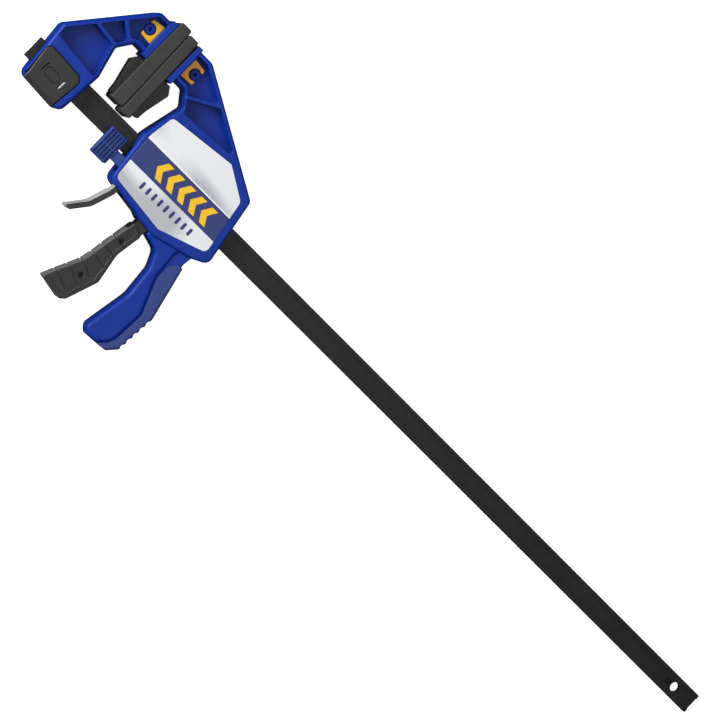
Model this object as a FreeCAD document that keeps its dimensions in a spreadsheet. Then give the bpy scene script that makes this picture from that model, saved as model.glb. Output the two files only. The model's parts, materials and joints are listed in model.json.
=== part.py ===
import FreeCAD, Part
import math
import os
import Sketcher
from FreeCAD import Placement, Rotation, Vector

# One-handed trigger bar clamp. The model space has X along the bar from its fixed-jaw
# end, Y towards the jaw tips and Z across the clamp, with Z = 0 in its mid plane.
# Every piece gets the same placement, which lays the clamp on its side: the lowest
# point is at Z = 0 and the box is centred on X = Y = 0.

doc = FreeCAD.newDocument("bar_clamp")
sheet = doc.addObject("Spreadsheet::Sheet", "dims")

DIMENSIONS = {
    # bar
    "bar_length": 795,
    "bar_height": 19,
    "bar_thickness": 6.4,
    "bar_lip": 3.8,
    "bar_groove": 1,
    "bar_chamfer": 0.6,
    "hang_hole": 8.8,
    "hang_inset": 22.3,
    "stop_pin_size": 5,
    "stop_pin_inset": 30.6,
    "stop_pin_reach": 12,
    "latch_x": 27,
    "latch_y": -11.5,
    "latch_size": 6.8,
    "latch_neck": 3.2,
    "latch_top": -1,
    # half thicknesses, measured from the mid plane
    "jaw_half": 14,
    "head_half": 14,
    "rail_half": 14.5,
    "pad_half": 15,
    "cavity_half": 11,
    "web_half": 2.5,
    "handle_half": 11.2,
    "palm_half": 9.5,
    "grip_half": 12.2,
    "trigger_half": 11.5,
    "trigger_screw_seat": 7,
    "yoke_half": 8.4,
    "yoke_gap_half": 4.8,
    "tongue_half": 3,
    "lever_half": 11.5,
    "lever_neck_half": 8.8,
    "cap_half": 12,
    "cap_back": 4.8,
    # jaw rails, pads and their clips
    "rail_thickness": 4.8,
    "fixed_rail_x": 63.4,
    "moving_rail_x": 90.9,
    "rail_low": 54.4,
    "rail_high": 91,
    "pad_length": 80.8,
    "fixed_pad_low": 14.3,
    "moving_pad_low": 11.5,
    "clip_middle": 73.9,
    "clip_low_z": 2.8,
    "clip_high_z": 5.8,
    "boss_size": 8,
    # pivots and moving plates
    "trigger_pivot_x": 161,
    "lever_pivot_x": 128.6,
    "pivot_y": 21,
    "pivot_pin": 6,
    "drive_plate_x": 169.5,
    "drive_plate_thickness": 2.5,
    "spring_y": -17,
    "spring_radius": 4.2,
    "spring_wire": 1.1,
    # general
    "slot_clearance": 0.15,
    "pin_clearance": 0.05,
    "edge_round": 2.2,
    "jaw_round": 3.4,
    "soft_round": 1.2,
    "handle_round": 3,
    "screw_size": 3.2,
    "screw_head": 5.6,
    "screw_seat": 7.2,
    "label_thickness": 0.6,
    "label_recess": 0.4,
    # where the model space sits in the row's frame
    "rest_height": 15,
    "middle_shift": 18.6,
}

for row, (name, millimetres) in enumerate(DIMENSIONS.items(), start=1):
    sheet.set(f"A{row}", name)
    sheet.set(f"B{row}", str(millimetres))
    sheet.setAlias(f"B{row}", name)
doc.recompute()

ORIGIN_POINT = -1
PIECES = []


def value(expression):
    """The number, in millimetres, that an expression on the sheet stands for."""
    result = sheet.evalExpression(str(expression))
    return float(getattr(result, "Value", result))


def place(piece, x="0", y="0", z="0"):
    """Put a piece at x, y, z of the model space, which itself sits in the row's frame."""
    piece.setExpression("Placement.Base.x", f"{x} - dims.bar_length / 2")
    piece.setExpression("Placement.Base.y", f"{y} + dims.middle_shift")
    piece.setExpression("Placement.Base.z", f"{z} + dims.rest_height")
    PIECES.append(piece)


def new_body(label):
    body = doc.addObject("PartDesign::Body", label)
    body.Label = label
    place(body)
    return body


def origin_plane(body, role):
    return next(item for item in body.Origin.OriginFeatures if item.Role == role)


def new_sketch(body, height="0", role="XY_Plane"):
    """A sketch parallel to one of the body's own origin planes, height away from it."""
    sketch = body.newObject("Sketcher::SketchObject", f"{body.Name}_sketch")
    sketch.AttachmentSupport = (origin_plane(body, role), [""])
    sketch.MapMode = "FlatFace"
    sketch.setExpression("AttachmentOffset.Base.z", height)
    return sketch


def bound(sketch, constraint, expression):
    index = sketch.addConstraint(constraint)
    sketch.setExpression(f"Constraints[{index}]", str(expression))


def bound_point(sketch, geometry, point, x, y):
    """Hold a point of the geometry at x, y from the sketch's origin."""
    for kind, expression, axis in (("DistanceX", x, -2), ("DistanceY", y, -1)):
        if abs(value(expression)) < 1e-9:
            sketch.addConstraint(Sketcher.Constraint("PointOnObject", geometry, point, axis))
        else:
            measure = Sketcher.Constraint(
                kind, ORIGIN_POINT, 1, geometry, point, value(expression)
            )
            bound(sketch, measure, expression)


def circle(sketch, x, y, diameter):
    centre = Vector(value(x), value(y), 0)
    ring = Part.Circle(centre, Vector(0, 0, 1), value(diameter) / 2)
    index = sketch.addGeometry(ring, False)
    bound(sketch, Sketcher.Constraint("Diameter", index, value(diameter)), diameter)
    bound_point(sketch, index, 3, x, y)


def rectangle(sketch, left, right, low, high):
    """A rectangle whose four sides follow the sheet."""
    x0, x1, y0, y1 = (value(side) for side in (left, right, low, high))
    corners = [Vector(x0, y0), Vector(x1, y0), Vector(x1, y1), Vector(x0, y1)]
    lines = [
        sketch.addGeometry(Part.LineSegment(start, end), False)
        for start, end in zip(corners, corners[1:] + corners[:1])
    ]
    for line, after in zip(lines, lines[1:] + lines[:1]):
        sketch.addConstraint(Sketcher.Constraint("Coincident", line, 2, after, 1))
    for line, kind in zip(lines, ("Horizontal", "Vertical") * 2):
        sketch.addConstraint(Sketcher.Constraint(kind, line))
    bound_point(sketch, lines[0], 1, left, low)
    bound_point(sketch, lines[2], 1, right, high)


def outline(sketch, corners):
    """A closed outline through (x, y, radius) corners, each rounded to its radius."""
    starts, ends = [], []
    for index, (x, y, radius) in enumerate(corners):
        here = Vector(x, y, 0)
        before = Vector(*corners[index - 1][:2], 0)
        after = Vector(*corners[(index + 1) % len(corners)][:2], 0)
        if radius == 0:
            starts.append(here)
            ends.append(here)
            continue
        back = (before - here).normalize()
        forth = (after - here).normalize()
        half_angle = back.getAngle(forth) / 2
        reach = radius / math.tan(half_angle)
        inward = (back + forth).normalize()
        middle = here + inward * (radius / math.sin(half_angle) - radius)
        starts.append(here + back * reach)
        ends.append(here + forth * reach)
        sketch.addGeometry(Part.Arc(starts[-1], middle, ends[-1]), False)
    for end, start in zip(ends, starts[1:] + starts[:1]):
        if end.distanceToPoint(start) > 1e-6:
            sketch.addGeometry(Part.LineSegment(end, start), False)


def rebuilt(feature):
    """Recompute, and stop at once if the feature has no shape."""
    doc.recompute()
    if "Invalid" in feature.State or feature.Shape.isNull():
        raise RuntimeError(f"{feature.Name} failed")
    return feature


def pad(body, sketch, length, side=0):
    """Fill a sketch: side 1 along its normal, -1 against it, 0 half to each side."""
    feature = body.newObject("PartDesign::Pad", f"{body.Name}_pad")
    feature.Profile = sketch
    feature.SideType = "One side" if side else "Symmetric"
    feature.Reversed = side < 0
    feature.setExpression("Length", length)
    return rebuilt(feature)


def pocket(body, sketch, length, side=0):
    """Cut a sketch away, with side as in pad. A cut that removes nothing is an error."""
    before = body.Tip.Shape.Volume
    feature = body.newObject("PartDesign::Pocket", f"{body.Name}_pocket")
    feature.Profile = sketch
    feature.SideType = "One side" if side else "Symmetric"
    feature.Reversed = side > 0
    feature.setExpression("Length", length)
    if not rebuilt(feature).Shape.Volume < before - 1e-6:
        raise RuntimeError(f"{feature.Name} removes nothing")
    return feature


def mirrored(body, features, role="XY_Plane"):
    feature = body.newObject("PartDesign::Mirrored", f"{body.Name}_mirrored")
    feature.Originals = features
    feature.MirrorPlane = (origin_plane(body, role), [""])
    body.Tip = feature
    return rebuilt(feature)


def dress(body, kind, amount, test):
    """Fillet or chamfer every edge of the body's tip that passes the test."""
    base = body.Tip
    names = [
        f"Edge{number}"
        for number, edge in enumerate(base.Shape.Edges, start=1)
        if test(edge.BoundBox)
    ]
    feature = body.newObject(f"PartDesign::{kind}", f"{body.Name}_{kind}")
    feature.Base = (base, names)
    feature.setExpression("Radius" if kind == "Fillet" else "Size", amount)
    return rebuilt(feature)


def at_height(*heights, left=-1e9, right=1e9, low=-1e9, high=1e9):
    """Test for a level edge at one of the heights, inside the given X and Y limits."""

    def test(box):
        level = any(
            abs(box.ZMin - height) < 0.01 and abs(box.ZMax - height) < 0.01
            for height in heights
        )
        inside = left <= box.XMin and box.XMax <= right
        return level and inside and low <= box.YMin and box.YMax <= high

    return test


def grown(corners, distance):
    """The corners of an outline moved out, or in where distance is negative."""
    area = sum(
        x0 * y1 - x1 * y0
        for (x0, y0, _), (x1, y1, _) in zip(corners, corners[1:] + corners[:1])
    )
    turn = 1 if area > 0 else -1
    moved = []
    for index, (x, y, radius) in enumerate(corners):
        before, after = corners[index - 1], corners[(index + 1) % len(corners)]
        into = Vector(x - before[0], y - before[1], 0).normalize()
        away = Vector(after[0] - x, after[1] - y, 0).normalize()
        first = Vector(into.y, -into.x, 0) * turn
        second = Vector(away.y, -away.x, 0) * turn
        shift = (first + second) * (distance / (1 + first.dot(second)))
        convex = into.cross(away).z * turn > 0
        rounded = max(radius + (distance if convex else -distance), 0) if radius else 0
        moved.append((x + shift.x, y + shift.y, rounded))
    return moved


# ---------------------------------------------------------------- bar


def make_bar():
    """I-section steel bar with its hanging hole, stop pin hole and latch notch."""
    body = new_body("bar")
    half_height = "dims.bar_height / 2"
    section = new_sketch(body)
    rectangle(section, "0", "dims.bar_length", f"-{half_height}", half_height)
    pad(body, section, "dims.bar_thickness")
    groove = new_sketch(body, "dims.bar_thickness / 2")
    inner = f"({half_height} - dims.bar_lip)"
    rectangle(groove, "-1", "dims.bar_length + 1", f"-{inner}", inner)
    cut = pocket(body, groove, "dims.bar_groove", -1)
    mirrored(body, [cut])
    for x, diameter in (
        ("dims.bar_length - dims.hang_inset", "dims.hang_hole"),
        ("dims.bar_length - dims.stop_pin_inset", "dims.stop_pin_size"),
    ):
        hole = new_sketch(body)
        circle(hole, x, "0", diameter)
        pocket(body, hole, "dims.bar_thickness * 2")
    notch = new_sketch(body, "-dims.bar_thickness")
    circle(notch, "dims.latch_x", "dims.latch_y", "dims.latch_size + 0.6")
    pocket(body, notch, "dims.bar_thickness + dims.latch_top + 0.3", 1)
    edge_height = value(half_height)
    dress(
        body,
        "Chamfer",
        "dims.bar_chamfer",
        lambda box: box.XLength > 100 and abs(abs(box.YMin) - edge_height) < 0.01,
    )


def make_stop_pin():
    """Slotted spring pin that keeps the head from running off the bar."""
    body = new_body("stop_pin")
    x = "dims.bar_length - dims.stop_pin_inset"
    ring = new_sketch(body)
    circle(ring, x, "0", "dims.stop_pin_size - 0.02")
    circle(ring, x, "0", "dims.stop_pin_size - 2")
    pad(body, ring, "dims.stop_pin_reach")
    slit = new_sketch(body)
    rectangle(slit, x, f"{x} + dims.stop_pin_size", "-0.4", "0.4")
    pocket(body, slit, "dims.stop_pin_reach + 1")


# ---------------------------------------------------------------- fixed jaw

FIXED_JAW = [
    (value("dims.fixed_rail_x + 2"), 88.8, 0),
    (51.6, 88.8, 6),
    (3.0, 28.8, 6),
    (7.6, -21.2, 6.5),
    (48.8, -23.8, 6.5),
    (52.2, 18, 6),
    (45.6, 43.5, 4),
    (54.6, 57, 4),
    (value("dims.fixed_rail_x + 2"), 57, 0),
]
FIXED_POCKETS = [
    [(62.6, 85.4, 1), (53.2, 85.4, 2), (37.4, 65.8, 1), (49, 57.2, 1.5), (54, 60.4, 3), (62.6, 60.4, 1)],
    [(35.4, 63.4, 1), (23.6, 48.6, 1), (43.6, 46.4, 1.5), (47.6, 54.2, 1.5)],
    [(21.4, 45.8, 1), (6.4, 27.2, 3), (6.8, 19.2, 1), (48.4, 15.2, 2), (48.6, 19, 3), (42.2, 43.4, 3)],
]
BUTTON = [
    (6.2, 9.9, 5),
    (44.6, 7.4, 6),
    (41, -24.6, 0),
    (10.4, -22.4, 0),
]
PRESS_MARK = [(18.6, -1.8, 3), (32.6, -2.8, 3), (31.6, -11.2, 3), (17.8, -10.2, 3)]
BUTTON_FLOOR = 5.6
BUTTON_BACK = 9.2
BUTTON_PROUD = 0.5


def add_jaw_boss(body):
    """The round post in the jaw's arm that the pad's clip snaps over, with a blind hole per end."""
    post = new_sketch(body)
    circle(post, "55.3", "dims.clip_middle", "dims.boss_size")
    pad(body, post, "(dims.clip_high_z + 0.4) * 2")
    hole = new_sketch(body, "dims.clip_high_z + 0.4")
    circle(hole, "55.3", "dims.clip_middle", "3")
    cut = pocket(body, hole, "dims.clip_high_z - 1.6", -1)
    mirrored(body, [cut])


def make_fixed_jaw():
    """One-piece jaw: ribbed arm, pad rail and the block that the bar runs through."""
    body = new_body("fixed_jaw")
    hull = new_sketch(body)
    outline(hull, FIXED_JAW)
    pad(body, hull, "dims.jaw_half * 2")
    half = value("dims.jaw_half")
    face = value("dims.fixed_rail_x")
    dress(body, "Fillet", "dims.jaw_round", at_height(half, -half, right=face + 1.9))
    rail = new_sketch(body)
    rail_end = "dims.fixed_rail_x + dims.rail_thickness"
    rectangle(rail, "dims.fixed_rail_x", rail_end, "dims.rail_low", "dims.rail_high")
    pad(body, rail, "dims.rail_half * 2")
    recesses = new_sketch(body, "dims.jaw_half + 1")
    for corners in FIXED_POCKETS:
        outline(recesses, corners)
    cuts = [pocket(body, recesses, "dims.jaw_half + 1 - dims.web_half", -1)]
    window = new_sketch(body, "dims.clip_high_z + 0.3")
    low, high = "dims.clip_middle - 9.8", "dims.clip_middle + 10.6"
    rectangle(window, "dims.fixed_rail_x - 1", f"{rail_end} + 1", low, high)
    depth = "dims.clip_high_z + 0.6 - dims.clip_low_z"
    cuts.append(pocket(body, window, depth, -1))
    mirrored(body, cuts)
    channel = new_sketch(body)
    half_bar = "(dims.bar_height / 2 + dims.slot_clearance)"
    rectangle(channel, "-5", "60", f"-{half_bar}", half_bar)
    pocket(body, channel, "dims.bar_thickness + 2 * dims.slot_clearance")
    seat = new_sketch(body, "dims.jaw_half + 1")
    outline(seat, grown(BUTTON, 0.5)[:2] + [(41.2, -30, 0), (9.6, -30, 0)])
    pocket(body, seat, f"dims.jaw_half + 1 - {BUTTON_FLOOR}", -1)
    bore = new_sketch(body)
    circle(bore, "dims.latch_x", "dims.latch_y", "dims.latch_size + 0.4")
    pocket(body, bore, "dims.jaw_half - 2", -1)
    neck_bore = new_sketch(body)
    circle(neck_bore, "dims.latch_x", "dims.latch_y", "dims.latch_neck + 0.8")
    pocket(body, neck_bore, "dims.jaw_half", 1)
    add_jaw_boss(body)


def make_push_button():
    """Button that frees the fixed jaw from the bar, with two finger slots in its face."""
    body = new_body("push_button")
    shape = new_sketch(body, str(BUTTON_BACK))
    outline(shape, BUTTON)
    pad(body, shape, f"dims.jaw_half + {BUTTON_PROUD} - {BUTTON_BACK}", 1)
    top = value("dims.jaw_half") + BUTTON_PROUD
    dress(body, "Chamfer", "3.2", at_height(top, high=-20))
    dress(body, "Fillet", "1", at_height(top, low=-20))
    slots = new_sketch(body, f"dims.jaw_half + {BUTTON_PROUD}")
    for x, low in ((15.6, -9.8), (34.4, -11.4)):
        high_end = [(x, low + 8, 0.5), (x + 1.8, low + 8, 0.5)]
        outline(slots, high_end + [(x + 1.2, low, 0.5), (x - 0.6, low, 0.5)])
    pocket(body, slots, "2.5", -1)
    ring = new_sketch(body, f"dims.jaw_half + {BUTTON_PROUD}")
    outline(ring, PRESS_MARK)
    outline(ring, grown(PRESS_MARK, -0.8))
    pocket(body, ring, "0.5", -1)


def make_latch():
    """Stepped steel pin: its thick end locks in the notch in the bar's edge."""
    body = new_body("latch_pin")
    thick = new_sketch(body, "dims.latch_top")
    circle(thick, "dims.latch_x", "dims.latch_y", "dims.latch_size")
    pad(body, thick, "4.5", -1)
    neck = new_sketch(body, "dims.latch_top - 1")
    circle(neck, "dims.latch_x", "dims.latch_y", "dims.latch_neck")
    pad(body, neck, f"{BUTTON_BACK} + 1 - dims.latch_top", 1)


def coil(label, radius, wire, pitch, height, rotation, x, y, z):
    """A round-wire coil spring along its own Z, then turned and placed."""
    helix = Part.makeHelix(pitch, height, radius)
    ring = Part.Wire(
        Part.Circle(Vector(radius, 0, 0), Vector(0, 1, 0), wire / 2).toShape()
    )
    spring = doc.addObject("Part::Feature", label)
    spring.Label = label
    spring.Shape = Part.Wire(helix.Edges).makePipeShell([ring], True, True)
    spring.Placement = Placement(Vector(), rotation)
    place(spring, x, y, z)


def make_latch_spring():
    height = value("dims.jaw_half - 2 - 5.5") - 1.4
    floor = "-dims.jaw_half + 2.7"
    across = Rotation()
    coil("latch_spring", 2.6, 0.8, 1.5, height, across, "dims.latch_x", "dims.latch_y", floor)


# ---------------------------------------------------------------- pads


def pad_lines(rear_top, rear_low, face_top, face_low, low):
    """Corner points of a pad seen from the side, from its rear face to its clamping face."""
    high = low + value("dims.pad_length")
    return [(rear_top, high), (face_top, high), (face_low, low), (rear_low, low)]


def make_pad(side, low, rear_top, rear_low, face_top, face_low, gusset, fork_tip, boss_x):
    """Pad of three pieces: soft face, stiff core with a gusset, and a two-pronged clip.

    forward is 1 where the pad faces +X and -1 where it faces -X.
    """
    forward = 1 if face_top > rear_top else -1
    high = low + value("dims.pad_length")

    def rear_at(y):
        return rear_low + (rear_top - rear_low) * (y - low) / (high - low)

    face = new_body(f"{side}_pad_face")
    shape = new_sketch(face)
    outline(shape, [(x, y, 2) for x, y in pad_lines(rear_top, rear_low, face_top, face_low, low)])
    pad(face, shape, "dims.pad_half * 2")
    half = value("dims.pad_half")
    dress(face, "Fillet", "dims.soft_round", at_height(half, -half))
    margin, core_depth = 2.4, 3.2
    core_low, core_high = low + margin, high - margin
    slab = [
        (rear_at(core_high) - 0.01 * forward, core_high, 0),
        (rear_at(core_high) + core_depth * forward, core_high, 0),
        (rear_at(core_low) + core_depth * forward, core_low, 0),
        (rear_at(core_low) - 0.01 * forward, core_low, 0),
    ]
    room = new_sketch(face)
    outline(room, grown(slab, 0.1))
    pocket(face, room, "(dims.pad_half - 2.4) * 2")

    core = new_body(f"{side}_pad_core")
    plate = new_sketch(core)
    outline(plate, slab)
    pad(core, plate, "(dims.pad_half - 2.5) * 2")
    wing = new_sketch(core)
    root = rear_at(40) + 1 * forward
    outline(
        wing,
        [
            (root, 53.4, 0),
            (rear_at(53.4) - (gusset - 4.4) * forward, 53.4, 1),
            (rear_at(46.7) - gusset * forward, 46.9, 1.5),
            (rear_at(25) - (gusset - 5.2) * forward, 25, 2),
            (rear_at(17) - (gusset - 5.9) * forward, 17.2, 1),
            (root, 17.2, 0),
        ],
    )
    pad(core, wing, "11")
    seat = new_sketch(core)
    clip_low, clip_high = "dims.clip_middle - 9.4", "dims.clip_middle + 10.2"
    left, right = sorted((rear_at(73) - 1 * forward, rear_at(73) + 2.2 * forward))
    rectangle(seat, str(left), str(right), clip_low, clip_high)
    pocket(core, seat, "(dims.clip_high_z + 0.2) * 2")

    clip = new_body(f"{side}_pad_clip")
    fork = new_sketch(clip)
    base = rear_at(73) + 1.9 * forward
    middle = value("dims.clip_middle")
    outline(
        fork,
        [
            (base, middle + 9.9, 0),
            (fork_tip + 1.4 * forward, middle + 7.6, 1.3),
            (fork_tip, middle + 4.4, 1),
            (boss_x, middle + 4.4, 0),
            (boss_x, middle - 4.4, 0),
            (fork_tip, middle - 4.4, 1),
            (fork_tip + 1.4 * forward, middle - 7.6, 1.3),
            (base, middle - 9.1, 0),
        ],
    )
    pad(clip, fork, "dims.clip_high_z * 2")
    notch = new_sketch(clip)
    circle(notch, str(boss_x), "dims.clip_middle", "dims.boss_size + 2.2")
    pocket(clip, notch, "dims.clip_high_z * 2 + 1")
    gap = new_sketch(clip)
    left, right = sorted((rear_at(73) - 30 * forward, rear_at(73) + 0.1 * forward))
    rectangle(gap, str(left), str(right), "40", "100")
    pocket(clip, gap, "dims.clip_low_z * 2")


def make_fixed_pad():
    rear = value("dims.fixed_rail_x + dims.rail_thickness") + 0.2
    make_pad(
        "fixed", value("dims.fixed_pad_low"), rear, rear, 79.1, 81.0, 8, 51.4, 55.3
    )


def make_moving_pad():
    rear = value("dims.moving_rail_x") - 0.2
    make_pad(
        "moving", value("dims.moving_pad_low"), rear - 1.2, rear + 0.6, 79.5, 81.4, 12, 110.2, 105.6
    )


# ---------------------------------------------------------------- head shells

HEAD = [
    (value("dims.moving_rail_x + 2"), 89.1, 0),
    (108.5, 89.1, 8),
    (207.6, 33.6, 6),
    (217.6, -25.5, 7),
    (205, -31.6, 3),
    (169, -40.4, 9),
    (152, -38.8, 1),
    (147.5, -36.8, 1),
    (113.4, -32, 7),
    (108.0, 12, 22),
    (116.6, 48.3, 4),
    (107.8, 59.4, 4),
    (value("dims.moving_rail_x + 2"), 59.4, 0),
]
HANDLE = [
    (198, -26, 0),
    (163, -34, 0),
    (165.5, -43, 0),
    (180, -47.2, 7),
    (186, -60, 14),
    (188.4, -87, 30),
    (181, -126.5, 5),
    (186.2, -132.2, 4),
    (196, -131.6, 0),
    (203, -125, 5),
    (205.6, -118, 8),
    (207.2, -91, 12),
    (198.5, -70, 10),
    (194.8, -61, 12),
    (193.4, -38, 0),
]
PALM = [
    (190, -28, 0),
    (205.4, -28, 0),
    (203.8, -40, 6),
    (213.8, -87, 10),
    (211.2, -121.6, 5),
    (205.2, -128.4, 4),
    (190, -129.5, 0),
]
GRIP = [
    (200.5, -42.5, 3),
    (205.9, -42.5, 0),
    (216.6, -88, 10),
    (213.8, -123, 6),
    (206.2, -131, 0),
    (196.4, -131.6, 0),
    (203.6, -125.2, 5),
    (206.3, -118, 8),
    (207.9, -91, 12),
    (199.3, -70, 10),
    (195.9, -61, 12),
    (195.6, -49, 4),
]
ARM_POCKETS = [
    [
        (96.4, 85.6, 1),
        (107.4, 85.6, 6),
        (134.4, 70.6, 2),
        (111.4, 56.8, 1),
        (106.6, 62.4, 3),
        (96.4, 62.4, 1),
    ],
    [(138, 68.6, 2), (168.8, 51.4, 2), (167.4, 48.4, 1), (120, 45.2, 2), (112.6, 54.8, 1.5)],
]
CAVITY = [
    (112.2, 4, 4),
    (113.2, 21, 6),
    (118.4, 37, 2),
    (198, 33, 4),
    (204.8, 28, 3),
    (212.4, -14, 4),
    (211.2, -22.6, 4),
    (200, -28.8, 4),
    (168, -36.6, 4),
    (122, -31, 3),
    (117, -25, 4),
]
HANDLE_CAVITY = [
    (196, -32, 0),
    (167, -37, 0),
    (167.8, -40.6, 0),
    (182, -44.4, 6),
    (190, -60, 14),
    (192, -87, 30),
    (185.5, -124, 3),
    (198, -124, 3),
    (202.6, -91, 10),
    (194, -68, 8),
]
LABEL = [
    (115.6, 36.6, 4),
    (174.8, 43.6, 3),
    (201.2, 27.6, 6),
    (209.2, -20.2, 5),
    (168.2, -33.8, 3),
    (115.4, -27.8, 5),
    (112.2, 15, 14),
]
BODY_SCREWS = [(120.6, 30.6), (194, 24), (138, -27.6), (207, -19)]
HANDLE_SCREWS = [(196.4, -62), (195.4, -114)]
BAR_SLOT_REACH = (100, 225)


def add_block(body, side, corners, height):
    block = new_sketch(body)
    outline(block, corners)
    return pad(body, block, height, side)


def cut_block(body, side, corners, depth):
    room = new_sketch(body)
    outline(room, corners)
    return pocket(body, room, depth, side)


def cut_box(body, side, left, right, low, high, depth):
    room = new_sketch(body)
    rectangle(room, left, right, low, high)
    return pocket(body, room, depth, side)


def head_outside(body, side):
    """Arm, housing, handle and pad rail of one half, with rounded outer edges."""
    add_block(body, side, HANDLE, "dims.handle_half")
    handle_top = value("dims.handle_half") * side
    dress(body, "Fillet", "dims.handle_round", at_height(handle_top))
    add_block(body, side, HEAD, "dims.head_half")
    top = value("dims.head_half") * side
    face = value("dims.moving_rail_x + dims.rail_thickness")
    dress(body, "Fillet", "dims.edge_round", at_height(top, left=face - 2.9))
    add_block(body, side, PALM, "dims.palm_half")
    rail = new_sketch(body)
    rail_end = "dims.moving_rail_x + dims.rail_thickness"
    rectangle(rail, "dims.moving_rail_x", rail_end, "dims.rail_low", "dims.rail_high")
    pad(body, rail, "dims.rail_half", side)


def head_pockets(body, side):
    """Open pockets of the arm, the clip window in the rail and the label's seat."""
    recesses = new_sketch(body, f"{side} * (dims.head_half + 1)")
    for corners in ARM_POCKETS:
        outline(recesses, corners)
    pocket(body, recesses, "dims.head_half + 1 - dims.web_half", -side)
    window = new_sketch(body, f"{side} * (dims.clip_high_z + 0.3)")
    low, high = "dims.clip_middle - 9.8", "dims.clip_middle + 10.6"
    rail_end = "dims.moving_rail_x + dims.rail_thickness + 1"
    rectangle(window, "dims.moving_rail_x - 1", rail_end, low, high)
    pocket(body, window, "dims.clip_high_z + 0.6 - dims.clip_low_z", -side)
    seat = new_sketch(body, f"{side} * (dims.head_half + 1)")
    outline(seat, grown(LABEL, 0.15))
    pocket(body, seat, "1 + dims.label_recess", -side)


def head_inside(body, side):
    """Mechanism cavity, handle hollow, bar slot and the openings for the levers."""
    cut_block(body, side, CAVITY, "dims.cavity_half")
    cut_block(body, side, HANDLE_CAVITY, "dims.palm_half - 0.6")
    left, right = (str(end) for end in BAR_SLOT_REACH)
    half_bar = "(dims.bar_height / 2 + dims.slot_clearance)"
    depth = "dims.bar_thickness / 2 + dims.slot_clearance"
    cut_box(body, side, left, right, f"-{half_bar}", half_bar, depth)
    lever_depth = "dims.lever_neck_half + 0.6"
    cut_box(body, side, "118.6", "133", "-42", "-29", lever_depth)
    cut_box(body, side, "150.6", "178", "-50", "-33", "dims.yoke_half + 0.5")
    if side > 0:
        cut_box(body, side, "104", "118", "-24.5", "-11", "dims.cavity_half")


def head_fittings(body, side):
    """Pivot bosses, spring ribs and screw posts, then their holes."""
    reach = "dims.cavity_half + 0.2"
    ribs = new_sketch(body)
    rectangle(ribs, "146", "149", "-35", "-10.6")
    rectangle(ribs, "203", "206", "-29", "-10.6")
    pad(body, ribs, reach, side)
    bosses = new_sketch(body, f"{side} * (dims.yoke_half + 0.7)")
    for x in ("dims.lever_pivot_x", "dims.trigger_pivot_x"):
        circle(bosses, x, "dims.pivot_y", "11")
    pad(body, bosses, f"{reach} - dims.yoke_half - 0.7", side)
    for spots, height in ((BODY_SCREWS, reach), (HANDLE_SCREWS, "dims.palm_half")):
        posts = new_sketch(body)
        for x, y in spots:
            circle(posts, str(x), str(y), "7.6")
        pad(body, posts, height, side)
    pivots = new_sketch(body)
    for x in ("dims.lever_pivot_x", "dims.trigger_pivot_x"):
        circle(pivots, x, "dims.pivot_y", "dims.pivot_pin + 2 * dims.pin_clearance")
    pocket(body, pivots, "dims.cavity_half + 1.2", side)
    holes = new_sketch(body)
    sinks = new_sketch(body, "-dims.head_half - 1")
    for x, y in BODY_SCREWS + HANDLE_SCREWS:
        circle(holes, str(x), str(y), "dims.screw_size + 0.1")
        circle(sinks, str(x), str(y), "dims.screw_head + 0.4")
    pocket(body, holes, "8.2" if side > 0 else "dims.head_half + 1", side)
    if side < 0:
        pocket(body, sinks, "dims.head_half + 1 - dims.screw_seat", 1)


def make_head_shell(label, side):
    body = new_body(label)
    head_outside(body, side)
    head_pockets(body, side)
    head_inside(body, side)
    head_fittings(body, side)
    post = new_sketch(body)
    circle(post, "105.6", "dims.clip_middle", "dims.boss_size")
    pad(body, post, "dims.clip_high_z + 0.4", side)
    bore = new_sketch(body)
    circle(bore, "105.6", "dims.clip_middle", "3")
    pocket(body, bore, "dims.clip_high_z + 0.4", side)


def make_shell_screws():
    """Screws that close the two shells, driven in from the back."""
    body = new_body("shell_screws")
    shank = new_sketch(body, "-dims.screw_seat")
    head = new_sketch(body, "-dims.screw_seat")
    for x, y in BODY_SCREWS + HANDLE_SCREWS:
        circle(shank, str(x), str(y), "dims.screw_size")
        circle(head, str(x), str(y), "dims.screw_head")
    pad(body, shank, "dims.screw_seat + 8", 1)
    pad(body, head, "2.1", -1)


def make_label(label, side):
    """Thin plate that fills the housing's face."""
    body = new_body(label)
    sheet_metal = new_sketch(body, f"{side} * (dims.head_half - dims.label_recess)")
    outline(sheet_metal, LABEL)
    pad(body, sheet_metal, "dims.label_thickness", side)


def make_handle_grip():
    """Soft palm grip moulded over the back of the handle, with shallow notches."""
    body = new_body("handle_grip")
    skin = new_sketch(body)
    outline(skin, GRIP)
    pad(body, skin, "dims.grip_half * 2")
    half = value("dims.grip_half")
    on_face = at_height(half, -half)
    dress(
        body, "Fillet", "dims.handle_round", lambda box: on_face(box) and box.XMax > 210
    )
    core = new_sketch(body)
    outline(core, grown(PALM, 0.02))
    pocket(body, core, "(dims.palm_half + 0.02) * 2")
    first_y, spacing, lean = -92.5, 6.8, 0.08
    notches = new_sketch(body)
    for number in range(5):
        y = first_y - number * spacing
        circle(notches, str(216.9 + (y + 88) * lean + 1.1), str(y), "6")
    pocket(body, notches, "dims.grip_half * 2 + 1")


# ---------------------------------------------------------------- trigger and drive

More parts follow.
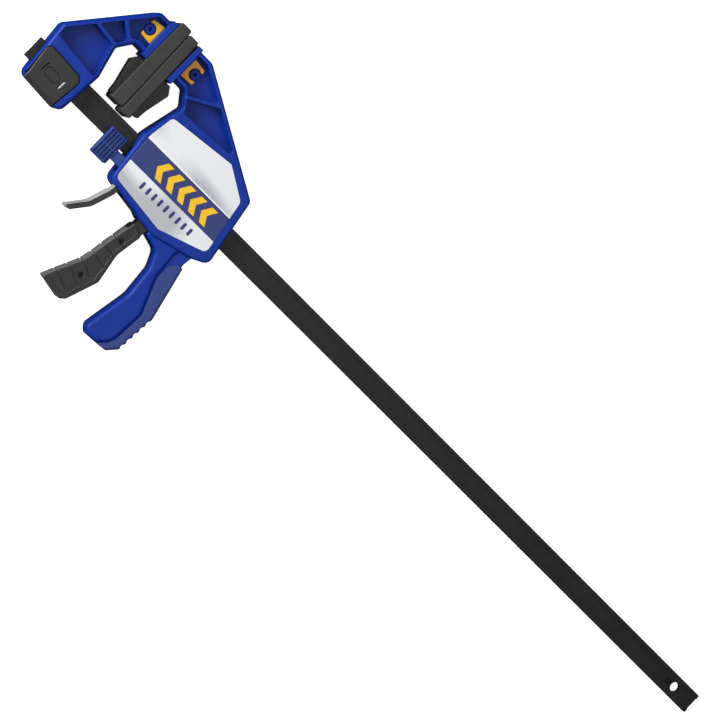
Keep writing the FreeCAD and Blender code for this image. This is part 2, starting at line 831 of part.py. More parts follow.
TRIGGER_FRONT = [
    (152.6, -42.5),
    (149.3, -60.7),
    (147.2, -71.7),
    (145.8, -81.7),
    (143.3, -91.7),
    (138.8, -101.7),
    (133.8, -111.7),
    (129.1, -122.6),
]
TRIGGER = [(x, y, 1) for x, y in TRIGGER_FRONT] + [
    (150.5, -127, 2),
    (154.6, -123.4, 3),
    (164.3, -96.3, 6),
    (159.8, -70.8, 14),
    (163.6, -47.6, 1.5),
]
TRIGGER_PANEL = [
    (154, -45.6, 0),
    (159.4, -49.6, 2),
    (156.4, -70.8, 14),
    (160.4, -96.2, 6),
    (151.6, -119.6, 3),
    (148.4, -122.6, 2),
    (126, -118.6, 0),
    (134, -90, 0),
]
YOKE = [
    (168, 28, 6),
    (154, 28, 6),
    (154, 8, 4),
    (152.6, -14, 4),
    (153.6, -44, 2),
    (153.0, -56, 2),
    (146.6, -92, 6),
    (138.2, -116, 2),
    (148.6, -119, 2),
    (156.4, -96, 6),
    (154.4, -72, 8),
    (163.2, -47.2, 2),
    (166.6, -18, 3),
    (169.2, -14.6, 1.5),
    (169.2, -10.4, 1.5),
    (167, -6, 3),
]
TRIGGER_SCREWS = [(155, -60.4), (150.2, -101.6)]


def make_trigger_yoke():
    """Trigger lever: two legs that straddle the bar, and a tongue inside the grip."""
    body = new_body("trigger_yoke")
    plate = new_sketch(body)
    outline(plate, YOKE)
    pad(body, plate, "dims.yoke_half * 2")
    between = new_sketch(body)
    rectangle(between, "140", "180", "-12", "40")
    pocket(body, between, "dims.yoke_gap_half * 2")
    thin = new_sketch(body, "dims.yoke_half + 1")
    rectangle(thin, "120", "180", "-130", "-49")
    cut = pocket(body, thin, "dims.yoke_half + 1 - dims.tongue_half", -1)
    mirrored(body, [cut])
    eye = new_sketch(body)
    circle(eye, "dims.trigger_pivot_x", "dims.pivot_y", "dims.pivot_pin + 4 * dims.pin_clearance")
    pocket(body, eye, "dims.yoke_half * 2 + 1")
    for x, y in TRIGGER_SCREWS:
        hole = new_sketch(body)
        circle(hole, str(x), str(y), "dims.screw_size + 0.2")
        pocket(body, hole, "dims.yoke_half * 2")


def groove_at(index, length):
    """Corners of a narrow groove that starts in front of the trigger at one joint."""
    x, y = TRIGGER_FRONT[index]
    below = Vector(*TRIGGER_FRONT[index + 1], 0)
    along = (below - Vector(x, y, 0)).normalize()
    start = Vector(x, y, 0) + along * (1.2 if index == 0 else 0)
    into = Vector(-along.y, along.x, 0)
    half_width = 0.55
    points = [
        start - into * 3 + along * half_width,
        start + into * length + along * half_width,
        start + into * length - along * half_width,
        start - into * 3 - along * half_width,
    ]
    return [(point.x, point.y, 0) for point in points]


def make_trigger_grip(label, side):
    """One half of the black finger grip, grooved across its front and its face."""
    body = new_body(label)
    add_block(body, side, TRIGGER, "dims.trigger_half")
    top = value("dims.trigger_half") * side
    dress(body, "Fillet", "1", at_height(top))
    panel = new_sketch(body, f"{side} * (dims.trigger_half + 1)")
    outline(panel, TRIGGER_PANEL)
    pocket(body, panel, "1.6", -side)
    face_grooves = new_sketch(body, f"{side} * (dims.trigger_half + 1)")
    front_grooves = new_sketch(body)
    for index in range(1, len(TRIGGER_FRONT) - 1):
        outline(face_grooves, groove_at(index, 11 + index))
        outline(front_grooves, groove_at(index, 1.1))
    pocket(body, face_grooves, "2.4", -side)
    pocket(body, front_grooves, "dims.trigger_half + 1", side)
    tongue = new_sketch(body)
    outline(tongue, grown(YOKE, 0.05))
    pocket(body, tongue, "dims.tongue_half + dims.pin_clearance", side)
    neck = new_sketch(body)
    rectangle(neck, "140", "180", "-49.05", "-30")
    pocket(body, neck, "dims.yoke_half + dims.pin_clearance", side)
    for x, y in TRIGGER_SCREWS:
        hole = new_sketch(body)
        circle(hole, str(x), str(y), "dims.screw_size + 0.1")
        pocket(body, hole, "9" if side < 0 else "dims.trigger_half + 1", side)
        if side > 0:
            sink = new_sketch(body, "dims.trigger_half + 1")
            circle(sink, str(x), str(y), "5.2")
            pocket(body, sink, "dims.trigger_half + 1 - dims.trigger_screw_seat", -1)


def make_trigger_screws():
    body = new_body("trigger_screws")
    shank = new_sketch(body, "-8.8")
    head = new_sketch(body, "dims.trigger_screw_seat")
    for x, y in TRIGGER_SCREWS:
        circle(shank, str(x), str(y), "dims.screw_size")
        circle(head, str(x), str(y), "5")
    pad(body, shank, "dims.trigger_screw_seat + 8.9", 1)
    pad(body, head, "1.8", 1)
    for wide, tall in ((2.8, 0.7), (0.7, 2.8)):
        cross = new_sketch(body, "dims.trigger_screw_seat + 1.9")
        for x, y in TRIGGER_SCREWS:
            left, right = str(x - wide / 2), str(x + wide / 2)
            rectangle(cross, left, right, str(y - tall / 2), str(y + tall / 2))
        pocket(body, cross, "1.1", -1)


def make_pivot_pin(label, x):
    """Plain steel pin that a lever turns on, held in both shells."""
    body = new_body(label)
    pin = new_sketch(body)
    circle(pin, x, "dims.pivot_y", "dims.pivot_pin")
    pad(body, pin, "(dims.cavity_half + 1) * 2")


def make_drive_plate(label, number):
    """Hardened plate that bites on the bar and carries it along."""
    body = new_body(label)
    left = f"dims.drive_plate_x + {number} * (dims.drive_plate_thickness + 0.02)"
    plate = new_sketch(body)
    rectangle(plate, left, f"{left} + dims.drive_plate_thickness", "-23", "15")
    pad(body, plate, "18")
    window = new_sketch(body)
    half_bar = "(dims.bar_height / 2 + 0.25)"
    rectangle(window, "160", "190", f"-{half_bar}", half_bar)
    pocket(body, window, "dims.bar_thickness + 0.5")


def make_body_springs():
    """Springs below the bar that push the drive plates and the brake lever forward."""
    along_bar = Rotation(Vector(0, 1, 0), 90)
    radius, wire = value("dims.spring_radius"), value("dims.spring_wire")
    start = value("dims.drive_plate_x + 2 * dims.drive_plate_thickness") + 0.7
    for label, pitch, begin, end in (
        ("drive_spring", 3.2, start, 202.2),
        ("brake_spring", 2.6, 128.2, 145.2),
    ):
        length = end - begin
        coil(label, radius, wire, pitch, length, along_bar, str(begin), "dims.spring_y", "0")


# ---------------------------------------------------------------- release lever

LEVER_THICKNESS = 4.3
LEVER_LINE = [(128.6, 21), (123.2, -36), (116.4, -56.5), (104.4, -71.6)]


def lever_band(half, first, last):
    """Corners of the bent lever plate seen from the side, half each side of its line."""
    line = [Vector(x, y, 0) for x, y in LEVER_LINE[first:last]]
    left, right = [], []
    for index, point in enumerate(line):
        before = line[max(index - 1, 0)]
        after = line[min(index + 1, len(line) - 1)]
        into = (point - before).normalize() if index else (after - point).normalize()
        away = (after - point).normalize() if after != point else into
        across = Vector(-(into + away).y, (into + away).x, 0).normalize()
        reach = half / across.dot(Vector(-into.y, into.x, 0))
        bend = 0 if index in (0, len(line) - 1) else 18
        left.append((point.x - across.x * reach, point.y - across.y * reach, bend))
        right.append((point.x + across.x * reach, point.y + across.y * reach, bend))
    return left + right[::-1]


def make_release_lever():
    """Steel brake lever: pivot eye, window that grips the bar, bent finger tail."""
    body = new_body("release_lever")
    strip = new_sketch(body)
    outline(strip, lever_band(LEVER_THICKNESS / 2, 0, 4))
    pad(body, strip, "dims.lever_half * 2")
    eye = new_sketch(body)
    circle(eye, "dims.lever_pivot_x", "dims.pivot_y", "dims.pivot_pin + 4")
    pad(body, eye, "dims.lever_half * 2")
    waist = new_sketch(body, "dims.lever_half + 1")
    rectangle(waist, "110", "140", "-37.5", "40")
    cut = pocket(body, waist, "dims.lever_half + 1 - dims.lever_neck_half", -1)
    mirrored(body, [cut])
    foot = new_sketch(body)
    rectangle(foot, "90", "120", "-80", "-71.2")
    pocket(body, foot, "dims.lever_half * 2 + 1")
    window = new_sketch(body)
    rectangle(window, "110", "140", "-10.6", "10.4")
    pocket(body, window, "dims.bar_thickness + 0.8")
    hole = new_sketch(body)
    circle(hole, "dims.lever_pivot_x", "dims.pivot_y", "dims.pivot_pin + 4 * dims.pin_clearance")
    pocket(body, hole, "dims.lever_half * 2 + 1")


def make_thumb_cap():
    """Ribbed cap in front of the bar's lower half, on an arm from the brake lever."""
    body = new_body("thumb_cap")
    block = new_sketch(body, "dims.cap_back")
    outline(block, [(86.8, -0.8, 1), (86.8, -26.8, 1.5), (102.8, -26.8, 1.5), (102.8, -0.8, 1)])
    pad(body, block, "dims.cap_half - dims.cap_back", 1)
    dress(body, "Fillet", "1", at_height(value("dims.cap_half")))
    arm = new_sketch(body, "dims.lever_neck_half - 1.6")
    rectangle(arm, "101", "127.6", "-20.6", "-11.6")
    pad(body, arm, "dims.cavity_half + 1.2 - dims.lever_neck_half", 1)
    notch = new_sketch(body)
    outline(notch, lever_band(LEVER_THICKNESS / 2 + 0.05, 0, 2))
    pocket(body, notch, "dims.lever_neck_half + 0.05", 1)
    slots = new_sketch(body, "dims.cap_half + 1")
    for number in range(5):
        x = 88.1 + 2.9 * number
        for low, high in ((-25.4, -15.2), (-14.2, -2.2)):
            rectangle(slots, str(x), str(x + 1.9), str(low), str(high))
    pocket(body, slots, "4", -1)


# ---------------------------------------------------------------- build and write

make_bar()
make_stop_pin()
make_fixed_jaw()
make_push_button()
make_latch()
make_latch_spring()
make_fixed_pad()
make_moving_pad()
make_head_shell("head_shell_front", 1)
make_head_shell("head_shell_back", -1)
make_shell_screws()
make_label("label_front", 1)
make_label("label_back", -1)
make_handle_grip()
make_pivot_pin("trigger_pivot_pin", "dims.trigger_pivot_x")
make_pivot_pin("lever_pivot_pin", "dims.lever_pivot_x")
make_trigger_yoke()
make_trigger_grip("trigger_grip_front", 1)
make_trigger_grip("trigger_grip_back", -1)
make_trigger_screws()
make_drive_plate("drive_plate_front", 0)
make_drive_plate("drive_plate_rear", 1)
make_body_springs()
make_release_lever()
make_thumb_cap()

doc.recompute()

for item in doc.Objects:
    if "Invalid" in item.State or "Error" in item.State:
        raise RuntimeError(f"{item.Name} did not rebuild")
for piece in PIECES:
    if piece.Shape.isNull() or not piece.Shape.isValid():
        raise RuntimeError(f"{piece.Label} has no valid shape")

os.makedirs("parts", exist_ok=True)
for piece in PIECES:
    piece.Shape.exportStep(f"parts/{piece.Label}.step")
    solids = len(piece.Shape.Solids)
    print(f"{piece.Label}: {solids} solid(s), {piece.Shape.Volume:.0f} mm3")
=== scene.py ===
import json
import math

import bmesh
import bpy
from mathutils import Matrix, Vector


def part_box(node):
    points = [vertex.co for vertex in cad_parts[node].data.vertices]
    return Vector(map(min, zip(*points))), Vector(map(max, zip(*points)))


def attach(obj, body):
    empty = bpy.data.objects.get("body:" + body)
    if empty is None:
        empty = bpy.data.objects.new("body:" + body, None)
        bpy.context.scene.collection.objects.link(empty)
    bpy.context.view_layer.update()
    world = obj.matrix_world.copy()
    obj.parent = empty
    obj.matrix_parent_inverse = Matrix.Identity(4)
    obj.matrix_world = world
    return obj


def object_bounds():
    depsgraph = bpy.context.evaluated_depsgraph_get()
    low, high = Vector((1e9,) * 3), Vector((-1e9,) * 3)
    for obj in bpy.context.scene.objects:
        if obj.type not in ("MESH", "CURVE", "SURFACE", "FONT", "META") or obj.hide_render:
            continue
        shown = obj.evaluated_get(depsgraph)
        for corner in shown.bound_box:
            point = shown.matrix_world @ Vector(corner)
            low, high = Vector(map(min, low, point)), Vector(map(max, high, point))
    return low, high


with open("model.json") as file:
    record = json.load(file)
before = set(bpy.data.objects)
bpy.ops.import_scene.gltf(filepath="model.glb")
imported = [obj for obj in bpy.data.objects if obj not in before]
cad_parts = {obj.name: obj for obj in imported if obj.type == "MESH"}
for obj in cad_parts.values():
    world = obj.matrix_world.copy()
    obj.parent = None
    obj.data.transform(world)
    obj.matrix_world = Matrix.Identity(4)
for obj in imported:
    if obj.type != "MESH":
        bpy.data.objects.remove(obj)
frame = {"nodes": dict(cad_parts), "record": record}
cad_low, cad_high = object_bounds()
nodes = frame["nodes"]
MM = 0.001
SCRATCH_SCALE = 3800


# ---------------------------------------------------------------- material helpers


class Surface:
    """A Principled material in the row's own coordinates, with its nodes built up in steps."""

    def __init__(
        self, name, colour, roughness, metallic=0.0, specular=0.5, coat=0.0, edge_mm=0.4
    ):
        self.material = bpy.data.materials.new(name)
        self.material.use_nodes = True
        self.tree = self.material.node_tree
        self.shader = self.tree.nodes["Principled BSDF"]
        inputs = self.shader.inputs
        inputs["Base Color"].default_value = (*colour, 1)
        inputs["Roughness"].default_value = roughness
        inputs["Metallic"].default_value = metallic
        inputs["Specular IOR Level"].default_value = specular
        inputs["Coat Weight"].default_value = coat
        inputs["Coat Roughness"].default_value = 0.25
        self.place = self.tree.nodes.new("ShaderNodeTexCoord").outputs["Object"]
        self.bump_end = None
        # rounds the shading of sharp edges by this much
        if edge_mm:
            edges = self.tree.nodes.new("ShaderNodeBevel")
            edges.samples = 4
            edges.inputs["Radius"].default_value = edge_mm * MM
            self.bump_end = edges.outputs["Normal"]

    def link(self, out, into):
        self.tree.links.new(out, into)

    def noise(self, scale, detail=3.0, stretch=(1, 1, 1), rough=0.55):
        """Noise with scale features to the metre, stretched out along the row's axes."""
        mapping = self.tree.nodes.new("ShaderNodeMapping")
        mapping.inputs["Scale"].default_value = stretch
        self.link(self.place, mapping.inputs["Vector"])
        texture = self.tree.nodes.new("ShaderNodeTexNoise")
        texture.inputs["Scale"].default_value = scale
        texture.inputs["Detail"].default_value = detail
        texture.inputs["Roughness"].default_value = rough
        self.link(mapping.outputs["Vector"], texture.inputs["Vector"])
        return texture.outputs["Fac"]

    def cells(self, scale):
        texture = self.tree.nodes.new("ShaderNodeTexVoronoi")
        texture.inputs["Scale"].default_value = scale
        self.link(self.place, texture.inputs["Vector"])
        return texture.outputs["Distance"]

    def upright(self):
        """How far the surface faces up or down, from 0 on a side wall to 1 on a flat top."""
        normal = self.tree.nodes.new("ShaderNodeNewGeometry").outputs["True Normal"]
        parts = self.tree.nodes.new("ShaderNodeSeparateXYZ")
        size = self.tree.nodes.new("ShaderNodeMath")
        size.operation = "ABSOLUTE"
        self.link(normal, parts.inputs["Vector"])
        self.link(parts.outputs["Z"], size.inputs[0])
        return size.outputs["Value"]

    def band(self, factor, low, high, to_low, to_high):
        """The factor, taken from low..high to to_low..to_high."""
        spread = self.tree.nodes.new("ShaderNodeMapRange")
        self.link(factor, spread.inputs["Value"])
        names = ("From Min", "From Max", "To Min", "To Max")
        for name, amount in zip(names, (low, high, to_low, to_high)):
            spread.inputs[name].default_value = amount
        return spread.outputs["Result"]

    def colours(self, factor, stops):
        """Base colour that runs through the stops, each (factor, colour)."""
        ramp = self.tree.nodes.new("ShaderNodeValToRGB")
        elements = ramp.color_ramp.elements
        while len(elements) < len(stops):
            elements.new(0.5)
        for element, (position, colour) in zip(elements, stops):
            element.position = position
            element.color = (*colour, 1)
        self.link(factor, ramp.inputs["Fac"])
        self.link(ramp.outputs["Color"], self.shader.inputs["Base Color"])

    def roughness(self, factor, low, high):
        self.link(self.band(factor, 0.3, 0.7, low, high), self.shader.inputs["Roughness"])

    def bump(self, height, depth_mm, strength=1.0):
        """Adds one more layer of relief, depth_mm deep."""
        node = self.tree.nodes.new("ShaderNodeBump")
        node.inputs["Strength"].default_value = strength
        node.inputs["Distance"].default_value = depth_mm * MM
        self.link(height, node.inputs["Height"])
        if self.bump_end:
            self.link(self.bump_end, node.inputs["Normal"])
        self.bump_end = node.outputs["Normal"]
        self.link(self.bump_end, self.shader.inputs["Normal"])


def shade(colour, amount):
    return tuple(min(channel * amount, 1) for channel in colour)


def moulded_plastic(name, colour, roughness, grain=2600, depth=0.02, specular=0.45, edge_mm=0.7):
    """Moulded plastic: slow colour drift, faint flow marks and a fine spark-eroded grain."""
    surface = Surface(name, colour, roughness, specular=specular, edge_mm=edge_mm)
    drift = surface.noise(26, 4)
    surface.colours(drift, [(0.3, shade(colour, 0.93)), (0.7, shade(colour, 1.07))])
    surface.roughness(surface.noise(60, 5), roughness - 0.06, roughness + 0.08)
    surface.bump(surface.noise(grain, 2), depth)
    surface.bump(surface.noise(90, 2), 0.03, 0.4)
    return surface.material


def grip_plastic(name, colour, lit_side_colour):
    """Black grip plastic, a little scuffed, with painted light on its side walls: they get a
    paler colour than its flat faces.
    """
    surface = Surface(name, colour, 0.48, specular=0.45, edge_mm=0.7)
    # painted light: side walls take the paler colour, flat faces keep the black
    surface.colours(surface.upright(), [(0.3, lit_side_colour), (0.75, colour)])
    surface.roughness(surface.noise(70, 5), 0.42, 0.58)
    surface.bump(surface.noise(2200, 3), 0.03)
    surface.bump(surface.noise(160, 4), 0.05, 0.4)
    return surface.material


def rubber(name, colour):
    roughness = 0.72
    surface = Surface(name, colour, roughness, specular=0.35)
    surface.colours(
        surface.noise(140, 6), [(0.3, shade(colour, 0.86)), (0.72, shade(colour, 1.16))]
    )
    surface.roughness(surface.noise(80, 4), roughness - 0.08, roughness + 0.1)
    surface.bump(surface.noise(3200, 3), 0.035)
    surface.bump(surface.cells(1500), 0.02, 0.6)
    return surface.material


def brushed_metal(name, colour, roughness, along=(0.03, 1, 1)):
    """Metal with fine straight scratches along one axis and a slow cloudiness."""
    surface = Surface(name, colour, roughness, metallic=1.0)
    scratches = surface.noise(SCRATCH_SCALE, 4, along, 0.7)
    cloud = surface.noise(30, 3)
    surface.colours(cloud, [(0.28, shade(colour, 0.88)), (0.72, shade(colour, 1.1))])
    surface.roughness(scratches, roughness - 0.08, roughness + 0.12)
    surface.bump(scratches, 0.008)
    return surface.material


def black_oxide(name, colour):
    """Blackened bar steel: drawn lines along its length, faint blotches and a dull sheen."""
    surface = Surface(name, colour, 0.5, metallic=0.35, specular=0.4)
    drawn = surface.noise(1400, 5, (0.012, 1, 1), 0.6)
    blotches = surface.noise(55, 6)
    surface.colours(blotches, [(0.3, shade(colour, 0.82)), (0.75, shade(colour, 1.25))])
    surface.roughness(blotches, 0.4, 0.58)
    surface.bump(drawn, 0.03, 0.7)
    surface.bump(surface.noise(2600, 3), 0.012)
    return surface.material


def label_plate(name, light, dark):
    """Brushed label stock: fine scratches along its length over slow bands of painted sheen,
    lighter and darker in the colour.
    """
    surface = Surface(name, light, 0.4, metallic=0.15, edge_mm=0)
    painted_sheen = surface.noise(28, 1, (0.5, 1, 1), 0.4)
    # painted sheen: noise runs the colour between dark and light bands
    surface.colours(painted_sheen, [(0.45, dark), (0.6, light)])
    scratches = surface.noise(SCRATCH_SCALE, 4, (0.03, 1, 1), 0.7)
    surface.roughness(scratches, 0.32, 0.52)
    surface.bump(scratches, 0.01)
    return surface.material


def strip_steel(name, colour, shaded_edge_colour):
    """Strip steel with satin broad faces and sheared edges, which face up and down; the edges
    get painted shade, a dark colour for the dark surroundings they reflect.
    """
    surface = Surface(name, colour, 0.4, metallic=0.15)
    # painted shade: faces that point up or down get the dark edge colour
    surface.colours(surface.upright(), [(0.35, colour), (0.65, shaded_edge_colour)])
    scratches = surface.noise(SCRATCH_SCALE, 4, (1, 0.04, 1), 0.7)
    surface.roughness(scratches, 0.34, 0.5)
    surface.bump(scratches, 0.008)
    surface.bump(surface.noise(700, 4), 0.03, 0.6)
    return surface.material


def ink(name, colour):
    """Printed ink with a barely uneven lay-down."""
    surface = Surface(name, colour, 0.42, specular=0.4, coat=0.15, edge_mm=0)
    surface.colours(
        surface.noise(220, 4), [(0.3, shade(colour, 0.95)), (0.7, shade(colour, 1.05))]
    )
    surface.bump(surface.noise(3000, 2), 0.006)
    return surface.material


# ---------------------------------------------------------------- finishes

BLUE = (0.003, 0.031, 0.3)
BLACK = (0.019, 0.019, 0.0187)

FINISHES = {
    "bar_steel": black_oxide("bar_steel", (0.019, 0.019, 0.02)),
    "black_steel": black_oxide("black_steel", (0.014, 0.014, 0.014)),
    "fastener_steel": brushed_metal("fastener_steel", (0.42, 0.42, 0.43), 0.35),
    "spring_steel": brushed_metal("spring_steel", (0.5, 0.5, 0.52), 0.3, (1, 1, 1)),
    "blue_plastic": moulded_plastic("blue_plastic", BLUE, 0.42, specular=0.2, edge_mm=1.3),
    # black_plastic: its paler side colour is painted light
    "black_plastic": grip_plastic("black_plastic", BLACK, (0.15, 0.15, 0.148)),
    "pad_rubber": rubber("pad_rubber", (0.042, 0.042, 0.043)),
    "pad_core": moulded_plastic("pad_core", (0.014, 0.014, 0.0135), 0.48),
    "yellow_plastic": moulded_plastic("yellow_plastic", (1.0, 0.52, 0.006), 0.4),
    "orange_plastic": moulded_plastic("orange_plastic", (1.0, 0.42, 0.006), 0.4),
    # label_metal: its dark tone is the shade of the painted sheen bands
    "label_metal": label_plate("label_metal", (0.84, 0.86, 0.89), (0.48, 0.5, 0.53)),
    "grip_rubber": moulded_plastic("grip_rubber", (0.03, 0.055, 0.23), 0.6, 1500, 0.06),
    "yoke_steel": brushed_metal("yoke_steel", (0.05, 0.05, 0.052), 0.45, (1, 0.03, 1)),
    "plate_steel": brushed_metal("plate_steel", (0.3, 0.3, 0.31), 0.36, (1, 0.03, 1)),
    # lever_steel: its dark edge colour is painted shade
    "lever_steel": strip_steel("lever_steel", (0.62, 0.62, 0.62), (0.02, 0.02, 0.021)),
    "cap_plastic": moulded_plastic("cap_plastic", (0.01, 0.045, 0.26), 0.42),
}

for entry in frame["record"]["subparts"]:
    piece = nodes[entry["node"]]
    finish = FINISHES[entry["material_slot"]]
    piece.data.materials.clear()
    piece.data.materials.append(finish)


# ---------------------------------------------------------------- piece helpers


def new_piece(name, mesh_maker, material, body):
    """A separate piece: mesh_maker fills a bmesh, and the piece then rides on its body."""
    shape = bmesh.new()
    mesh_maker(shape)
    mesh = bpy.data.meshes.new(name)
    shape.to_mesh(mesh)
    shape.free()
    mesh.materials.append(material)
    piece = bpy.data.objects.new(name, mesh)
    bpy.context.scene.collection.objects.link(piece)
    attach(piece, body)
    return piece


def thicken(shape, faces, offset):
    """Extrudes flat faces by offset, leaving a closed thin solid."""
    grown = bmesh.ops.extrude_face_region(shape, geom=faces)
    moved = [item for item in grown["geom"] if isinstance(item, bmesh.types.BMVert)]
    bmesh.ops.translate(shape, vec=offset, verts=moved)
    bmesh.ops.recalc_face_normals(shape, faces=shape.faces[:])


# ---------------------------------------------------------------- label print

INK_THICKNESS = 0.05 * MM


def strip_of_label(node, side, low, high):
    """The part of a label's outer face between two heights, as a thin layer on top of it."""

    def build(shape):
        shape.from_mesh(nodes[node].data)
        inner = [face for face in shape.faces if face.normal.z * side < 0.9]
        bmesh.ops.delete(shape, geom=inner, context="FACES")
        bmesh.ops.remove_doubles(shape, verts=shape.verts[:], dist=1e-6)
        for height, keep_below in ((low, False), (high, True)):
            geometry = shape.verts[:] + shape.edges[:] + shape.faces[:]
            bmesh.ops.bisect_plane(
                shape,
                geom=geometry,
                plane_co=(0, height, 0),
                plane_no=(0, 1, 0),
                clear_outer=keep_below,
                clear_inner=not keep_below,
            )
        thicken(shape, shape.faces[:], Vector((0, 0, side * INK_THICKNESS)))

    return build


def flat_marks(outlines, side, height):
    """Thin printed marks with the given outlines, standing on one height."""

    def build(shape):
        faces = []
        for outline in outlines:
            corners = [shape.verts.new((x, y, height)) for x, y in outline]
            faces.append(shape.faces.new(corners))
        thicken(shape, faces, Vector((0, 0, side * INK_THICKNESS)))

    return build


def chevron(x, y, width, half_height, lean):
    """An arrow stroke that points to -X."""
    return [
        (x, y),
        (x + lean, y + half_height),
        (x + lean + width, y + half_height),
        (x + width, y),
        (x + lean + width, y - half_height),
        (x + lean, y - half_height),
    ]


def pill(x, y, width, half_height):
    """A short upright stroke with rounded ends."""
    radius = width / 2
    steps = 6
    points = []
    for turn, end in ((0, 1), (math.pi, -1)):
        for step in range(steps + 1):
            angle = turn + math.pi * step / steps
            points.append(
                (
                    x + radius * math.cos(angle),
                    y + end * (half_height - radius) + radius * math.sin(angle),
                )
            )
    return points


band_ink = ink("band_ink", (0.014, 0.032, 0.17))
line_ink = ink("line_ink", (1.0, 1.0, 1.0))
mark_ink = ink("mark_ink", (1.0, 0.56, 0.003))
small_ink = ink("small_ink", (0.02, 0.03, 0.15))

bar_middle = (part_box("bar")[0].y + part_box("bar")[1].y) / 2
BAND_LOW, BAND_HIGH = bar_middle - 10 * MM, bar_middle + 12 * MM
LINE_WIDTH = 1.1 * MM
CHEVRONS, CHEVRON_PITCH = 5, 12.4 * MM
DASHES, DASH_PITCH = 9, 6.6 * MM

for node, side in (("label_front", 1), ("label_back", -1)):
    low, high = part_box(node)
    top = high.z if side > 0 else low.z
    face = "front" if side > 0 else "back"
    new_piece(
        f"label_band_{face}",
        strip_of_label(node, side, BAND_LOW, BAND_HIGH),
        band_ink,
        "sliding_head",
    )
    new_piece(
        f"label_line_{face}",
        strip_of_label(node, side, BAND_HIGH, BAND_HIGH + LINE_WIDTH),
        line_ink,
        "sliding_head",
    )
    first = low.x + 21 * MM
    arrows = [
        chevron(first + CHEVRON_PITCH * i, bar_middle + 1 * MM, 6.2 * MM, 8 * MM, 5 * MM)
        for i in range(CHEVRONS)
    ]
    new_piece(
        f"label_arrows_{face}",
        flat_marks(arrows, side, top + side * INK_THICKNESS),
        mark_ink,
        "sliding_head",
    )
    dashes = [
        pill(first + 2 * MM + DASH_PITCH * i, bar_middle - 18 * MM, 2.6 * MM, 3.4 * MM)
        for i in range(DASHES)
    ]
    new_piece(
        f"label_dashes_{face}",
        flat_marks(dashes, side, top),
        small_ink,
        "sliding_head",
    )


# ---------------------------------------------------------------- button spring leaf

def leaf_strip(x, y, top):
    """A rounded steel strip that lies in the button's slot, just under the face."""

    def build(shape):
        corners = [shape.verts.new((px, py, top)) for px, py in pill(x, y, 1.6 * MM, 3.8 * MM)]
        thicken(shape, [shape.faces.new(corners)], Vector((0, 0, -1.6 * MM)))

    return build


button_low, button_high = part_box("push_button")
new_piece(
    "button_leaf",
    leaf_strip(button_low.x + 28.7 * MM, button_low.y + 17.2 * MM, button_high.z - 0.15 * MM),
    FINISHES["spring_steel"],
    "jaw_button",
)


# ---------------------------------------------------------------- plug in the clip's post

PLUG_RADIUS = 1.48 * MM
PLUG_HALF = 1 * MM
PLUG_SIDES = 24


def post_plug(x, y, middle):
    """A short plug that closes the bore of the moving clip's post half way down."""

    def build(shape):
        corners = []
        for step in range(PLUG_SIDES):
            angle = 2 * math.pi * step / PLUG_SIDES
            place = (x + PLUG_RADIUS * math.cos(angle), y + PLUG_RADIUS * math.sin(angle))
            corners.append(shape.verts.new((*place, middle - PLUG_HALF)))
        thicken(shape, [shape.faces.new(corners)], Vector((0, 0, 2 * PLUG_HALF)))

    return build


clip_low, clip_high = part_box("moving_pad_clip")
clip_middle = (clip_low + clip_high) / 2
new_piece(
    "clip_post_plug",
    post_plug(clip_high.x - 4.6 * MM, clip_middle.y - 0.4 * MM, clip_middle.z),
    FINISHES["blue_plastic"],
    "sliding_head",
)


# ---------------------------------------------------------------- floor, light, camera

FLOOR_SIZE = 6.0
WORLD_LIGHT = 0.34
FLOOR_GLOW = 0.88


def make_floor():
    mesh = bpy.data.meshes.new("floor")
    half = FLOOR_SIZE / 2
    corners = [(-half, -half, 0), (half, -half, 0), (half, half, 0), (-half, half, 0)]
    mesh.from_pydata(corners, [], [(0, 1, 2, 3)])
    floor = bpy.data.objects.new("floor", mesh)
    bpy.context.scene.collection.objects.link(floor)
    floor.location.z = cad_low.z - 0.0002
    floor.visible_diffuse = False
    floor.visible_glossy = False
    surface = Surface("floor", (0.9, 0.9, 0.9), 0.9, specular=0.1)
    surface.colours(surface.noise(3, 2), [(0.3, (0.89,) * 3), (0.7, (0.91,) * 3)])
    surface.shader.inputs["Emission Color"].default_value = (1, 1, 1, 1)
    surface.shader.inputs["Emission Strength"].default_value = FLOOR_GLOW
    mesh.materials.append(surface.material)


def aim(thing, target):
    direction = Vector(target) - thing.location
    thing.rotation_mode = "QUATERNION"
    thing.rotation_quaternion = direction.to_track_quat("-Z", "Y")


def softbox(name, place, target, size, power):
    light = bpy.data.lights.new(name, "AREA")
    light.shape = "DISK"
    light.size = size
    light.energy = power
    holder = bpy.data.objects.new(name, light)
    bpy.context.scene.collection.objects.link(holder)
    holder.location = place
    aim(holder, target)


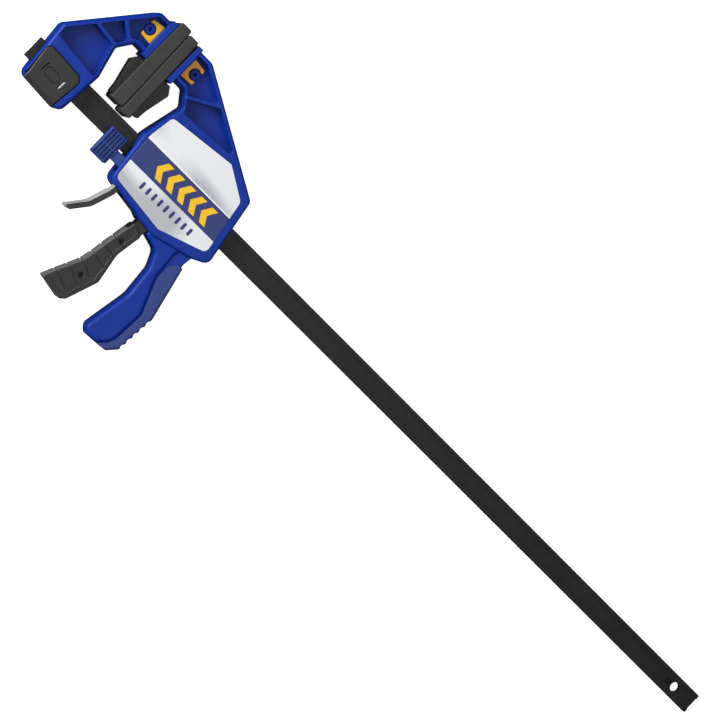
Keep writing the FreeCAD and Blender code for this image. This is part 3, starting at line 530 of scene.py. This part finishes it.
def make_light():
    world = bpy.data.worlds.new("studio")
    bpy.context.scene.world = world
    world.use_nodes = True
    tree = world.node_tree
    background = tree.nodes["Background"]
    background.inputs["Strength"].default_value = WORLD_LIGHT
    direction = tree.nodes.new("ShaderNodeTexCoord").outputs["Generated"]
    parts = tree.nodes.new("ShaderNodeSeparateXYZ")
    tree.links.new(direction, parts.inputs["Vector"])
    ramp = tree.nodes.new("ShaderNodeValToRGB")
    ramp.color_ramp.elements[0].position = 0.0
    ramp.color_ramp.elements[0].color = (0.13, 0.13, 0.14, 1)
    ramp.color_ramp.elements[1].position = 0.75
    tree.links.new(parts.outputs["Z"], ramp.inputs["Fac"])
    tree.links.new(ramp.outputs["Color"], background.inputs["Color"])
    head = (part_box("head_shell_front")[0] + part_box("head_shell_front")[1]) / 2
    softbox("key", (head.x - 1.4, head.y - 0.2, 0.75), head, 0.9, 30)
    softbox("top", (head.x + 0.1, head.y + 0.2, 2.0), (0, 0, 0), 1.6, 7)


VIEW_SIDE_LEAN = -0.2997
VIEW_DOWN_LEAN = -0.0959
VIEW_DISTANCE = 2119 * MM
VIEW_POINT = Vector((-30.7 * MM, 26.1 * MM, 15 * MM))
VIEW_TURN = math.radians(43.18)
LENS_MM = 130


def make_camera():
    """A long lens that looks down on the clamp, with the bar running down to the right."""
    data = bpy.data.cameras.new("camera")
    data.lens = LENS_MM
    data.sensor_width = 36
    data.clip_start, data.clip_end = 0.1, 20
    camera = bpy.data.objects.new("camera", data)
    bpy.context.scene.collection.objects.link(camera)
    back = Vector((VIEW_SIDE_LEAN, VIEW_DOWN_LEAN, 1)).normalized()
    right = Vector((math.cos(VIEW_TURN), math.sin(VIEW_TURN), 0))
    right = (right - back * right.dot(back)).normalized()
    up = back.cross(right)
    axes = Matrix((right, up, back)).transposed()
    camera.matrix_world = Matrix.Translation(VIEW_POINT + back * VIEW_DISTANCE) @ axes.to_4x4()
    bpy.context.scene.camera = camera


make_floor()
make_light()
make_camera()
bpy.context.scene.view_settings.view_transform = "Standard"
